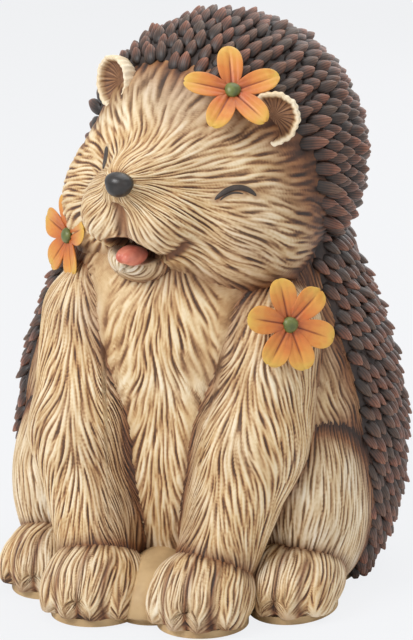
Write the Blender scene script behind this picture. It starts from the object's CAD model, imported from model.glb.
"""Looks of the sitting hedgehog ornament: carved fur, a coat of rounded spines, flowers and a plain stage.

The hedgehog faces -Y and its own left side is +X. Each furry part is a skin cast on to a smooth blend of
egg-shaped lumps, much like those that its solids are made of, and then carved with combed strokes that follow
the lie of the fur.
"""
import math
from collections import namedtuple

import bpy
import numpy as np
from bpy.props import FloatProperty, FloatVectorProperty, PointerProperty
from mathutils import Matrix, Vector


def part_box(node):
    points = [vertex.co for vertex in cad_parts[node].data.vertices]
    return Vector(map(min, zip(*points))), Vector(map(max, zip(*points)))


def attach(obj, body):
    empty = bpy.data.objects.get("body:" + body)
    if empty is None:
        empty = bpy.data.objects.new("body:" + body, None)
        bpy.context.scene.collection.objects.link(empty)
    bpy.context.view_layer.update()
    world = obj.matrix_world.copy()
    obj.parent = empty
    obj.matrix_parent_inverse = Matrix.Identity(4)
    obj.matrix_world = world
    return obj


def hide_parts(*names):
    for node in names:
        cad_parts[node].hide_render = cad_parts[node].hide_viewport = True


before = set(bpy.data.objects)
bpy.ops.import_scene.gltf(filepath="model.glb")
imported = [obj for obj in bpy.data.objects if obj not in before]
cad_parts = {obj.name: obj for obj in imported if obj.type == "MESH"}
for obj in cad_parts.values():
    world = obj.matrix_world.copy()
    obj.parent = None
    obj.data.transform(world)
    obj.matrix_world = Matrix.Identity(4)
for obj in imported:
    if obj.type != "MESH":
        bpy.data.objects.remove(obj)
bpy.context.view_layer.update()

bl_info = {
    "name": "Sitting hedgehog ornament",
    "version": (1, 0, 0),
    "blender": (4, 5, 0),
    "location": "3D View > Sidebar > Hedgehog",
    "description": "Builds the carved fur, spiny coat and flowers of a painted resin hedgehog",
    "category": "Add Mesh",
}

MM = 0.001
SMALL = 1e-9
SIDES = {"left": 1, "right": -1}


def mm(*values):
    """Some millimetres as an array in metres."""
    return np.array(values, float) * MM


# Head: place of the skull's centre, and how the head turns to its right, lifts its chin and leans to its left
HEAD_PLACE = mm(5.4, 1.0, 140.6)
HEAD_TURN, HEAD_LIFT, HEAD_LEAN = np.radians([13.0, 2.5, 6.0])
SKULL = mm(43.0, 42.0, 43.0)


def head_turn():
    """The head's own axes as columns: a turn about Z, then the lift of the chin, then the lean of the crown."""
    s, c = math.sin(HEAD_TURN), math.cos(HEAD_TURN)
    turn = np.array([[c, s, 0], [-s, c, 0], [0, 0, 1]])
    s, c = math.sin(HEAD_LIFT), math.cos(HEAD_LIFT)
    lift = np.array([[1, 0, 0], [0, c, s], [0, -s, c]])
    s, c = math.sin(HEAD_LEAN), math.cos(HEAD_LEAN)
    lean = np.array([[c, 0, s], [0, 1, 0], [-s, 0, c]])
    return turn @ lift @ lean


HEAD_AXES = head_turn()
HEAD_DOWN, HEAD_UP = HEAD_AXES @ (0, 0, -1), HEAD_AXES @ (0, 0, 1)


def on_head(*place):
    """A place given in millimetres from the skull's centre along the head's own axes."""
    return HEAD_PLACE + HEAD_AXES @ mm(*place)


def to_head(points):
    """Points seen from the skull's centre, along the head's own axes."""
    return (points - HEAD_PLACE) @ HEAD_AXES


# Smooth solids as functions of points, below zero inside and about a distance near the surface


def egg(centre, half_sizes, axes=np.eye(3)):
    """An egg-shaped lump: its scaled radius k gives k (k - 1) over the length of the slope of k times k."""
    halves = np.array(half_sizes, float)

    def field(points):
        scaled = (points - centre) @ axes / halves
        radius = np.sqrt((scaled**2).sum(-1))
        return radius * (radius - 1) / (np.sqrt(((scaled / halves) ** 2).sum(-1)) + SMALL)

    return field


def head_egg(centre, half_sizes):
    """A lump of the head, in millimetres along the head's own axes."""
    return egg(on_head(*centre), mm(*half_sizes), HEAD_AXES)


def limb(start, end, start_radius, end_radius):
    """A round bar whose radius runs evenly from one end to the other, with round ends."""
    start, along = np.array(start), np.array(end) - np.array(start)

    def field(points):
        share = np.clip((points - start) @ along / (along @ along), 0, 1)
        axis = start + share[..., None] * along
        return np.linalg.norm(points - axis, axis=-1) - (start_radius + (end_radius - start_radius) * share)

    return field


def smooth_least(a, b, soft):
    """The lesser of two values, rounded off by a parabola where they differ by less than soft."""
    near_each_other = np.maximum(soft - np.abs(a - b), 0) / soft
    return np.minimum(a, b) - near_each_other**2 * soft / 4


def joined(first, *others):
    """One solid from several, each later one with the softness of its joint."""

    def field(points):
        value = first(points)
        for other, soft in others:
            value = smooth_least(value, other(points), soft)
        return value

    return field


def without(solid, tool, soft):
    """A solid with the space of another cut away, and the edge rounded by soft."""
    return lambda points: -smooth_least(-solid(points), tool(points), soft)


def within(solid, bound, soft):
    """What two solids share, with the edge rounded by soft."""
    return lambda points: -smooth_least(-solid(points), -bound(points), soft)


def grown(solid, by):
    """A solid whose surface has moved outward by a distance."""
    return lambda points: solid(points) - by


def level_of(points):
    """Height above the ground."""
    return points[..., 2]


def smooth_through(levels, values, at):
    """A smooth curve through values at rising levels: cubic pieces, with slopes from the neighbouring values."""
    levels, values = np.array(levels, float), np.array(values, float)
    slopes = np.gradient(values, levels)
    at = np.clip(at, levels[0], levels[-1])
    i = np.clip(np.searchsorted(levels, at, side="right") - 1, 0, len(levels) - 2)
    gap = levels[i + 1] - levels[i]
    t = (at - levels[i]) / gap
    ease = t * t * (3 - 2 * t)
    bend = gap * t * (1 - t) * (slopes[i] * (1 - t) - slopes[i + 1] * t)
    return values[i] * (1 - ease) + values[i + 1] * ease + bend


def stack(levels, half_widths, half_depths, set_back, top, soft):
    """A torso through upright stations: at each level an ellipse, closed on top by a soft flat cut."""

    def field(points):
        width = smooth_through(levels, half_widths, points[..., 2])
        depth = smooth_through(levels, half_depths, points[..., 2])
        x, y = points[..., 0], points[..., 1] - set_back
        radius = np.sqrt((x / width) ** 2 + (y / depth) ** 2) + SMALL
        slope = np.sqrt((x / width**2) ** 2 + (y / depth**2) ** 2) + SMALL
        return -smooth_least(-radius * (radius - 1) / slope, -(points[..., 2] - top), soft)

    return field


# Torso: the stations of the coat from the sole up, its middle behind the origin, and the chest in front of it
COAT_LEVELS = mm(0, 14, 34, 62, 84, 104, 118, 128)
COAT_HALF_WIDTHS = mm(52, 59, 64, 63.5, 58, 49.5, 44, 38)
COAT_HALF_DEPTHS = mm(44, 50, 54, 54, 51, 46, 42, 37)
COAT_SET_BACK, COAT_TOP, COAT_TOP_SOFT = mm(7, 124, 8)
COAT_FORM = stack(COAT_LEVELS, COAT_HALF_WIDTHS, COAT_HALF_DEPTHS, COAT_SET_BACK, COAT_TOP, COAT_TOP_SOFT)
CHEST = egg(mm(0, -18, 92), mm(36, 30, 36))
TORSO_FORM = joined(COAT_FORM, (CHEST, 14 * MM))

# Head: lumps by their centres and half sizes, then the softness of each joint
MUZZLE = head_egg((0, -27, -11), (27, 25, 21))
SNOUT = head_egg((0, -48, -1), (10.5, 18, 10.5))
CHEEKS = [head_egg((side * 24.3, -19, -16), (19.7, 22, 21)) for side in SIDES.values()]
LIP_PADS = [head_egg((side * 9, -45, -12), (12, 16, 12)) for side in SIDES.values()]
RUFF = head_egg((0, -12, -31), (36, 27, 15))
JAW = head_egg((-1.2, -35.5, -26.8), (12.8, 18.5, 9.3))
MOUTH = head_egg((1.5, -54, -22.5), (10, 16, 4.2))
TONGUE_HALVES = [head_egg((0.9 + side * 1.3, -52.0, -24.2), (2.6, 6.5, 3.0)) for side in SIDES.values()]
NOSE = joined(
    head_egg((1.3, -65.4, 2.0), (4.8, 3.9, 3.0)), (head_egg((1.1, -65.2, -0.6), (3.3, 3.4, 2.4)), 3 * MM)
)
PHILTRUM = limb(on_head(0, -62, -5), on_head(0.5, -58, -20), 1.0 * MM, 1.4 * MM)
HOOD_CENTRE, HOOD_SIZE = mm(-1.3, 5, 2), mm(45, 43, 45.5)
HOOD = egg(on_head(*(HOOD_CENTRE / MM)), HOOD_SIZE, HEAD_AXES)
FACE_FORM = joined(
    egg(HEAD_PLACE, SKULL, HEAD_AXES),
    (MUZZLE, 14 * MM),
    (SNOUT, 12 * MM),
    (CHEEKS[0], 12 * MM),
    (CHEEKS[1], 12 * MM),
    (LIP_PADS[0], 6 * MM),
    (LIP_PADS[1], 6 * MM),
    (RUFF, 10 * MM),
)

# Limbs on the left side, which are mirrored to the right
SHOULDER, ELBOW, WRIST = mm(31, -27, 92), mm(29.5, -40, 56), mm(19.5, -51, 16)
SHOULDER_RADIUS, ELBOW_RADIUS, WRIST_RADIUS, ELBOW_SOFT = mm(16, 16.5, 13, 6)
FRONT_PAW, FRONT_PAW_SIZE = mm(18.3, -58, 10), mm(17.3, 19, 14.5)
HIND_PAW, HIND_PAW_SIZE = mm(41.5, -33, 9.5), mm(16.8, 22.5, 13.5)
HAUNCH, HAUNCH_SIZE = mm(44, -12, 33), mm(18, 29, 33)
TOE_SIZE, TOE_PROUD, TOE_LEVEL, TOE_SOFT = mm(4.6, 8.5, 9.0), 1.4 * MM, 7.5 * MM, 1.5 * MM
TOE_SIDE_SHARES = (-0.69, -0.23, 0.23, 0.69)
TOE_GAP_SHARES = (-0.46, 0, 0.46)
SOLE_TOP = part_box("base_plate")[1].z


def mirrored(place, side):
    """A place on the left side, or its mirror image on the right."""
    return np.array(place) * (side, 1, 1)


def standing(solid, soft=MM):
    """A solid cut level with the top of the sole."""
    return within(solid, lambda points: SOLE_TOP - points[..., 2], soft)


def foreleg_form(side):
    """Upper and lower leg, joined softly at the elbow."""
    elbow = mirrored(ELBOW, side)
    upper = limb(mirrored(SHOULDER, side), elbow, SHOULDER_RADIUS, ELBOW_RADIUS)
    return joined(upper, (limb(elbow, mirrored(WRIST, side), ELBOW_RADIUS, WRIST_RADIUS), ELBOW_SOFT))


def paw_form(centre, half_sizes):
    """A flattened egg with four toes in front, which keep a groove between each other."""
    toes = []
    for share in TOE_SIDE_SHARES:
        front = half_sizes[1] * math.sqrt(1 - share**2) + TOE_PROUD
        place = (centre[0] + share * half_sizes[0], centre[1] + TOE_SIZE[1] - front, TOE_LEVEL)
        toes.append((egg(place, TOE_SIZE), TOE_SOFT))
    return joined(egg(centre, half_sizes), *toes)


FORELEGS = {name: foreleg_form(side) for name, side in SIDES.items()}
FRONT_PAWS = {name: paw_form(mirrored(FRONT_PAW, side), FRONT_PAW_SIZE) for name, side in SIDES.items()}
HIND_PAWS = {name: paw_form(mirrored(HIND_PAW, side), HIND_PAW_SIZE) for name, side in SIDES.items()}
HAUNCHES = {name: egg(mirrored(HAUNCH, side), HAUNCH_SIZE) for name, side in SIDES.items()}
UNDER_HEAD = joined(TORSO_FORM, (FORELEGS["left"], 10 * MM), (FORELEGS["right"], 10 * MM))

# Where fur gives way to spines: on the torso the line runs back towards the sole and the neck, and on the head it
# leans back with its height, comes down in a peak on the forehead and gives way to the ears
FUR_LINE, FUR_LINE_LOW_SHIFT, FUR_LINE_HIGH_SHIFT = mm(-16, 10, 3)
FUR_LINE_LOW, FUR_LINE_HIGH, FUR_LINE_HIGH_RUN = mm(60, 90, 30)
HOOD_LINE, HOOD_PEAK, HOOD_PEAK_SIDE, HOOD_PEAK_WIDTH, HOOD_PEAK_LEVEL = mm(-11.3, 6, 2, 15, 25)
HOOD_EAR_SHIFT, HOOD_EAR_SIDE, HOOD_EAR_WIDTH = mm(2, 31, 8)
HOOD_SLOPE = 0.33


def ramped(values, start, run):
    """0 up to a start, rising evenly to 1 over a run."""
    return np.clip((values - start) / run, 0, 1)


def fur_line_ahead(points):
    """How far in front of the torso's fur line a point lies."""
    low = 1 - ramped(points[..., 2], 0, FUR_LINE_LOW)
    high = ramped(points[..., 2], FUR_LINE_HIGH, FUR_LINE_HIGH_RUN)
    return FUR_LINE + FUR_LINE_LOW_SHIFT * low**1.3 + FUR_LINE_HIGH_SHIFT * high - points[..., 1]


def hood_line_ahead(points):
    """How far in front of the hood's leaning edge a point lies."""
    seen = to_head(points)
    across, level = seen[..., 0], seen[..., 2]
    peak = np.exp(-(((across - HOOD_PEAK_SIDE) / HOOD_PEAK_WIDTH) ** 2)) * ramped(level, 0, HOOD_PEAK_LEVEL)
    ears = np.exp(-(((np.abs(across) - HOOD_EAR_SIDE) / HOOD_EAR_WIDTH) ** 2)) * (level > 0)
    line = HOOD_LINE - HOOD_SLOPE * level - HOOD_PEAK * peak + HOOD_EAR_SHIFT * ears
    return (line - seen[..., 1]) * math.cos(math.atan(HOOD_SLOPE))


# Skins: closed surfaces cast from an axis on to a smooth solid
CAST_RAYS, CAST_STEPS, HALVINGS, NEWTON_STEPS = 140, 48, 9, 5
PROBE = 0.05 * MM
HIDDEN_SPARING = 0.8
TYPICAL_PERCENT = 85
MOST_POINTS = 98000


def cross(a, b):
    """The unit vector square to two."""
    c = np.cross(a, b)
    return c / (np.linalg.norm(c, axis=-1, keepdims=True) + SMALL)


class Axis:
    """A line inside a solid with a fan of rays, which leave its start backward, its length sideways and its end
    forward."""

    def __init__(self, start, end, first_way=(0, -1, 0), fan_share=0.35):
        self.start, self.end = np.array(start), np.array(end)
        along = self.end - self.start
        self.along = along / (np.linalg.norm(along) + SMALL)
        self.side = cross(self.along, np.array(first_way, float))
        self.across = np.cross(self.side, self.along)
        self.fan_share = fan_share

    def rays(self, share, turn):
        """Where each ray starts and the way it goes, from its share along the skin and its turn about the axis."""
        fan = self.fan_share
        walk = ramped(share, fan / 2, 1 - fan)
        back, front = np.clip(1 - share / fan, 0, 1), np.clip((share - 1 + fan) / fan, 0, 1)
        tilt = (front - back) * np.pi / 2
        out = np.cos(turn)[..., None] * self.across + np.sin(turn)[..., None] * self.side
        way = np.cos(tilt)[..., None] * out + np.sin(tilt)[..., None] * self.along
        return self.start + walk[..., None] * (self.end - self.start), way


def first_cast(field, starts, ways, reach):
    """How far each ray runs to the outermost sign change of a solid, by even steps inward and then by halving."""
    step = reach / CAST_STEPS
    low = np.zeros(ways.shape[:-1])
    found = np.zeros(ways.shape[:-1], bool)
    for number in range(CAST_STEPS, 0, -1):
        distance = reach * number / CAST_STEPS
        inside = field(starts + distance * ways) < 0
        low = np.where(inside & ~found, distance, low)
        found |= inside
    high = np.where(found, low, step) + step
    for _ in range(HALVINGS):
        middle = (low + high) / 2
        inside = field(starts + middle[..., None] * ways) < 0
        low, high = np.where(inside, middle, low), np.where(inside, high, middle)
    return low


def looked_up(table, rows, columns):
    """A table's values at fractional rows and columns, evened out between the nearest four; it closes sideways."""
    i = np.clip(rows.astype(int), 0, table.shape[0] - 2)
    t = np.clip(rows - i, 0, 1)
    j, c = columns.astype(int), columns % 1
    left, right = j % table.shape[1], (j + 1) % table.shape[1]
    upper = table[i, left] * (1 - c) + table[i, right] * c
    lower = table[i + 1, left] * (1 - c) + table[i + 1, right] * c
    return upper * (1 - t) + lower * t


def cast_skin(field, axis, spacing, reach, hidden=None):
    """Points of a skin whose rows and columns are about evenly spaced, their outward normals and their spacing.

    Rays are cast coarsely. The meridians are then moved apart in step with the mean girth between them, and each
    is shared out evenly in rows; both are five times sparser where nothing shows, and all are a little sparser
    where a skin would have too many points. Each ray is last run to the surface by Newton's steps.
    """
    turns = np.arange(CAST_RAYS) * 2 * np.pi / CAST_RAYS
    share, turn = np.meshgrid(np.linspace(0, 1, CAST_RAYS), turns, indexing="ij")
    starts, ways = axis.rays(share, turn)
    run = first_cast(field, starts, ways, reach)
    points = starts + run[..., None] * ways
    shown = np.ones(points.shape[:-1]) if hidden is None else 1 - HIDDEN_SPARING * hidden(points)
    girth = np.linalg.norm(np.roll(points, -1, axis=1) - points, axis=-1) * shown
    round_length = np.concatenate([[0], np.cumsum(np.percentile(girth, TYPICAL_PERCENT, axis=0))])
    step = np.linalg.norm(np.diff(points, axis=0), axis=-1) * (shown[1:] + shown[:-1]) / 2
    length = np.vstack([np.zeros(CAST_RAYS), np.cumsum(step, axis=0)])
    row_length = np.percentile(length[-1], TYPICAL_PERCENT)
    spacing *= math.sqrt(max(1, round_length[-1] * row_length / spacing**2 / MOST_POINTS))
    rows, columns = int(row_length / spacing), int(round_length[-1] / spacing)
    at = np.interp(np.arange(columns) * round_length[-1] / columns, round_length, np.arange(CAST_RAYS + 1))
    even = np.linspace(0, 1, rows)
    place = [np.interp(even * length[-1, j], length[:, j], share[:, j]) for j in range(CAST_RAYS)]
    column = np.broadcast_to(at, (rows, columns))
    row = np.broadcast_to(np.arange(rows)[:, None], (rows, columns)).astype(float)
    place = looked_up(np.stack(place, axis=1), row, column)
    run = looked_up(run, place * (CAST_RAYS - 1), column)
    starts, ways = axis.rays(place, column * 2 * np.pi / CAST_RAYS)
    for _ in range(NEWTON_STEPS):
        here = field(starts + run[..., None] * ways)
        there = field(starts + (run + PROBE)[..., None] * ways)
        run = run - np.clip(here / np.maximum((there - here) / PROBE, 0.15), -MM, MM)
    points = starts + run[..., None] * ways
    return points, normals_of(field, points), spacing


def normals_of(field, points):
    """The way the field rises, from its values at the corners of a small tetrahedron."""
    corners = np.array([[1, -1, -1], [-1, -1, 1], [-1, 1, -1], [1, 1, 1]]) * PROBE
    slope = sum(field(points + corner)[..., None] * corner for corner in corners)
    return slope / (np.linalg.norm(slope, axis=-1, keepdims=True) + SMALL)


# Carving: shares of the stroke's width that hairs, locks and tints are apart, and how the carver's hand wanders
PITCH_SHARES = (1, 3.2, 6)
LOCK_SHARE = 0.3
HEIGHT_POWER = 0.6
WALK_STEP_CELLS, MOST_COLUMNS_A_STEP = 1.4, 3
WANDER_SHARE, WANDER_SIZE = 0.2, 16 * MM
MEAN_HEIGHT, SMOOTH_RIDGE = 0.75, 0.85


def ripple(points, size, seed):
    """A smooth random value between about -1 and 1: six sine waves of about one size that run in random ways."""
    chance = np.random.default_rng(seed)
    total = np.zeros(points.shape[:-1])
    for _ in range(6):
        way = chance.normal(size=3)
        way *= 2 * np.pi / (size * chance.uniform(0.7, 1.5)) / np.linalg.norm(way)
        total += np.sin(points @ way + chance.uniform(0, 2 * np.pi))
    return total / 3


def lie_flat(flow, normals):
    """Flow vectors pressed on to the surface and made of unit length."""
    flat = flow - (flow * normals).sum(-1, keepdims=True) * normals
    return flat / (np.linalg.norm(flat, axis=-1, keepdims=True) + SMALL)


def evened(values):
    """Values replaced by their ranks, shared out evenly from 0 to 1."""
    ranks = np.empty(values.size)
    ranks[np.argsort(values, axis=None)] = np.linspace(0, 1, values.size)
    return ranks.reshape(values.shape)


def banded(values, finest, coarsest):
    """Random values left with the waves between two radii, in cells: a narrow Gaussian blur less a wide one."""
    down = np.fft.fftfreq(values.shape[0])[:, None]
    over = np.fft.rfftfreq(values.shape[1])[None]
    waves = -2 * np.pi**2 * (down**2 + over**2)
    kept = np.exp(waves * finest**2) - np.exp(waves * coarsest**2)
    band = np.fft.irfft2(np.fft.rfft2(values) * kept, s=values.shape)
    return band / band.std()


def skin_rates(points, flow):
    """How many rows and columns of a skin go by for each metre along the flow."""
    down = np.gradient(points, axis=0)
    over = (np.roll(points, -1, axis=1) - np.roll(points, 1, axis=1)) / 2
    down_down, over_over, down_over = (down**2).sum(-1), (over**2).sum(-1), (down * over).sum(-1)
    flow_down, flow_over = (flow * down).sum(-1), (flow * over).sum(-1)
    scale = down_down * over_over - down_over**2 + SMALL**2
    rows = (flow_down * over_over - flow_over * down_over) / scale
    columns = (flow_over * down_down - flow_down * down_over) / scale
    return rows, columns


def combed(bands, rates, length, step):
    """Values smeared along the flow: each becomes the mean of those met on a walk both ways along it.

    What lies further off counts less, as half a cosine wave, so that a streak fades at both its ends.
    """
    rows, columns = bands[0].shape
    first_row, first_column = np.meshgrid(np.arange(rows), np.arange(columns), indexing="ij")
    totals = [band.copy() for band in bands]
    steps = int(length / 2 / step)
    for way in (1, -1):
        row, column = first_row.astype(float), first_column.astype(float)
        for k in range(1, steps + 1):
            row_rate, column_rate = looked_up(rates[0], row, column), looked_up(rates[1], row, column)
            row = np.clip(row + way * step * row_rate, 0, rows - 1)
            sideways = np.clip(step * column_rate, -MOST_COLUMNS_A_STEP, MOST_COLUMNS_A_STEP)
            column = (column + way * sideways) % columns
            weight = (1 + math.cos(math.pi * k / steps)) / 2
            for total, band in zip(totals, bands):
                total += weight * looked_up(band, row, column)
    return [evened(total) for total in totals]


def carve(points, flow, sizes, cell, seed):
    """Height and tint of combed fur: 1 on a ridge and 0 in a groove, and a slow random tint along the hairs.

    Random values are kept between a quarter and two thirds of a pitch, so that high and low follow each other at
    about that pitch, and are combed along the flow. Hairs are one stroke's width apart. Locks, which are wider,
    lower the hairs between them, and the tint changes over wider bundles still.
    """
    chance = np.random.default_rng(seed)
    bands = []
    for share in PITCH_SHARES:
        cells = share * sizes.stroke_width / cell
        bands.append(banded(chance.normal(size=points.shape[:2]), cells / 4, cells * 2 / 3))
    hairs, locks, tint = combed(bands, skin_rates(points, flow), sizes.stroke_length, WALK_STEP_CELLS * cell)
    return evened(hairs + LOCK_SHARE * locks) ** HEIGHT_POWER, tint


# Meshes


def round_grid_faces(rows, columns):
    """Four-sided faces of rows that close sideways, and three-sided ones that close each end row on a point."""
    i, j = np.meshgrid(np.arange(rows - 1), np.arange(columns), indexing="ij")
    right = (j + 1) % columns
    here, below = i * columns, (i + 1) * columns
    quads = np.stack([here + j, here + right, below + right, below + j], -1)
    j = np.arange(columns)
    right, end_row = (j + 1) % columns, (rows - 1) * columns
    start = np.stack([np.full(columns, rows * columns), right, j], -1)
    end = np.stack([np.full(columns, rows * columns + 1), end_row + j, end_row + right], -1)
    return [quads.reshape(-1, 4), np.concatenate([start, end])]


def faces_outward(points, quads):
    """Whether faces turn outwards, by the sign of the volume that they span with the origin.

    The ends of the surface aren't counted, so a small surface that lies far from the origin can be told wrongly.
    """
    a, b, c = (points[quads[:, corner]] for corner in range(3))
    return np.einsum("ij,ij->i", a, np.cross(b, c)).sum() > 0


def closed_rows(points, shades):
    """A closed surface from rows that close sideways, whose first and last rows are drawn to a point each.

    Gives its points, its blocks of outward faces, and the shades at its points.
    """
    inner = points[1:-1]
    flat = np.concatenate([inner.reshape(-1, 3), points[:1].mean(1), points[-1:].mean(1)])
    faces = round_grid_faces(*inner.shape[:2])
    if not faces_outward(flat, faces[0]):
        faces = [block[:, ::-1] for block in faces]
    values = {}
    for shade, table in shades.items():
        values[shade] = np.concatenate([table[1:-1].ravel(), [table[0].mean(), table[-1].mean()]])
    return flat, faces, values


def new_mesh(name, points, faces, shades, finish, slot, nodes):
    """A mesh object from its points and faces, riding on the ornament and standing for its solids."""
    mesh = bpy.data.meshes.new(name)
    mesh.vertices.add(len(points))
    mesh.vertices.foreach_set("co", np.asarray(points, np.float32).ravel())
    lengths = np.concatenate([np.full(len(block), block.shape[1], np.int32) for block in faces])
    corners = np.concatenate([block.ravel() for block in faces]).astype(np.int32)
    mesh.loops.add(len(corners))
    mesh.loops.foreach_set("vertex_index", corners)
    mesh.polygons.add(len(lengths))
    mesh.polygons.foreach_set("loop_start", np.concatenate([[0], np.cumsum(lengths)[:-1]]).astype(np.int32))
    mesh.polygons.foreach_set("loop_total", lengths)
    mesh.update(calc_edges=True)
    mesh.polygons.foreach_set("use_smooth", np.ones(len(lengths), bool))
    for shade, values in shades.items():
        attribute = mesh.attributes.new(shade, "FLOAT", "POINT")
        attribute.data.foreach_set("value", np.asarray(values, np.float32).ravel())
    mesh.validate()
    mesh.materials.append(material_of(finish))
    piece = bpy.data.objects.new(name, mesh)
    bpy.context.scene.collection.objects.link(piece)
    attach(piece, "root")
    if nodes:
        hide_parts(*nodes)
    return piece


def skin_mesh(name, points, shades, finish, slot, nodes):
    """A closed mesh from the rows of a skin."""
    return new_mesh(name, *closed_rows(points, shades), finish, slot, nodes)


def cast_mesh(name, form, axis, spacing, reach, finish, slot, nodes):
    """A smooth piece: the skin of a solid, left uncarved."""
    points, _, _ = cast_skin(form, axis, spacing, reach)
    return skin_mesh(name, points, {}, finish, slot, nodes)


def fur_piece(name, form, axis, flow_of, shades_of, seed, node, reach, hidden=None):
    """A furry part: its skin, carved with strokes combed along the flow, shaded by ridges and by where it lies.

    A wash over 1 also darkens the ridges, down to a fifth.
    """
    sizes = bpy.context.scene.hedgehog_fur
    points, normals, spacing = cast_skin(form, axis, sizes.mesh_spacing, reach, hidden)
    flow = lie_flat(flow_of(points), normals)
    wander = WANDER_SHARE * ripple(points, WANDER_SIZE, seed)[..., None]
    flow = lie_flat(flow + wander * np.cross(normals, flow), normals)
    height, tint = carve(points, flow, sizes, spacing, seed)
    wash, pale, smooth = shades_of(points)
    lift = (height - MEAN_HEIGHT) * sizes.stroke_depth * (1 - smooth)
    carved = points + normals * lift[..., None]
    carved[..., 2] = np.maximum(carved[..., 2], SOLE_TOP)
    ridge = (height * (1 - smooth) + smooth * SMOOTH_RIDGE) * np.clip(2 - wash, 0.2, 1)
    shades = {"ridge": ridge, "tint": tint, "wash": np.clip(wash, 0, 1), "pale": np.clip(pale, 0, 1)}
    return skin_mesh(name, carved, shades, "cast resin fur", "fur_resin", [node])


def near(form, points, distance):
    """1 where a point touches another form, falling evenly to 0 at a distance from it."""
    return np.clip(1 - form(points) / distance, 0, 1)


def washed(points, *creases):
    """Wash gathered along creases, each a strength, the form that it runs round, its reach in mm and its power."""
    return sum(strength * near(form, points, reach * MM) ** power for strength, form, reach, power in creases)


def patch(seen, centre, half_sizes):
    """1 at a centre, given in mm on the head, falling to 0 around it as a bell curve."""
    return np.exp(-(((seen - mm(*centre)) / mm(*half_sizes)) ** 2).sum(-1))


def distance_to(line, points):
    """How far points are from the nearest point of a line."""
    return np.sqrt(np.min([((points - place) ** 2).sum(-1) for place in line[::3]], axis=0))


# Lie of the fur


def from_point(place):
    """Fur that spreads out from one place."""
    return lambda points: points - place


def fir_tree(down, sideways, middle, half_width, spread):
    """Fur that runs down and parts to both sides of a middle line, the more the further it is from that line."""
    down, sideways = np.array(down, float), np.array(sideways, float)

    def flow(points):
        off = np.clip((points - middle) @ sideways / half_width, -1, 1)
        return down + spread * off[..., None] * sideways

    return flow


# Materials: the size of each pattern, which a noise repeats at about once in that size
FUR_GRAIN, FUR_PATCHES = mm(10 / 9, 200 / 11)
COAT_GRAIN, SPINE_GRAIN, PETAL_PATCHES = mm(20 / 7, 50 / 21, 50 / 13)
SPINE_LINES = 20.0


def linear(colour):
    """A colour as sRGB hex, such as d9c29b, turned into linear red, green, blue and alpha."""
    parts = [int(colour[i : i + 2], 16) / 255 for i in (0, 2, 4)]
    return [p / 12.92 if p <= 0.04045 else ((p + 0.055) / 1.055) ** 2.4 for p in parts] + [1.0]


def add_node(tree, kind, inputs=None, output=0, stops=(), **settings):
    """A node with its settings, colour stops, socket values and links; gives one of its outputs."""
    node = tree.nodes.new("ShaderNode" + kind)
    for name, value in settings.items():
        setattr(node, name, value)
    for _ in stops[2:]:
        node.color_ramp.elements.new(0.5)
    for place, (position, colour) in enumerate(stops):
        node.color_ramp.elements[place].position = position
        node.color_ramp.elements[place].color = linear(colour) if isinstance(colour, str) else colour
    for name, value in (inputs or {}).items():
        if isinstance(value, bpy.types.NodeSocket):
            tree.links.new(value, node.inputs[name])
        else:
            node.inputs[name].default_value = value
    return node.outputs[output] if node.outputs else None


def new_tree(name):
    """A new material, its empty node tree and the piece's own coordinates."""
    material = bpy.data.materials.new(name)
    material.use_nodes = True
    tree = material.node_tree
    tree.nodes.clear()
    return material, tree, add_node(tree, "TexCoord", output="Object")


def finish_tree(tree, roughness, colour, strength, depth, height):
    """The shader and output that every finish of the ornament ends with, and its bump."""
    normal = add_node(tree, "Bump", {"Strength": strength, "Distance": depth, "Height": height})
    surface = add_node(tree, "BsdfPrincipled", {"Base Color": colour, "Roughness": roughness, "Normal": normal})
    add_node(tree, "OutputMaterial", {"Surface": surface})


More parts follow.
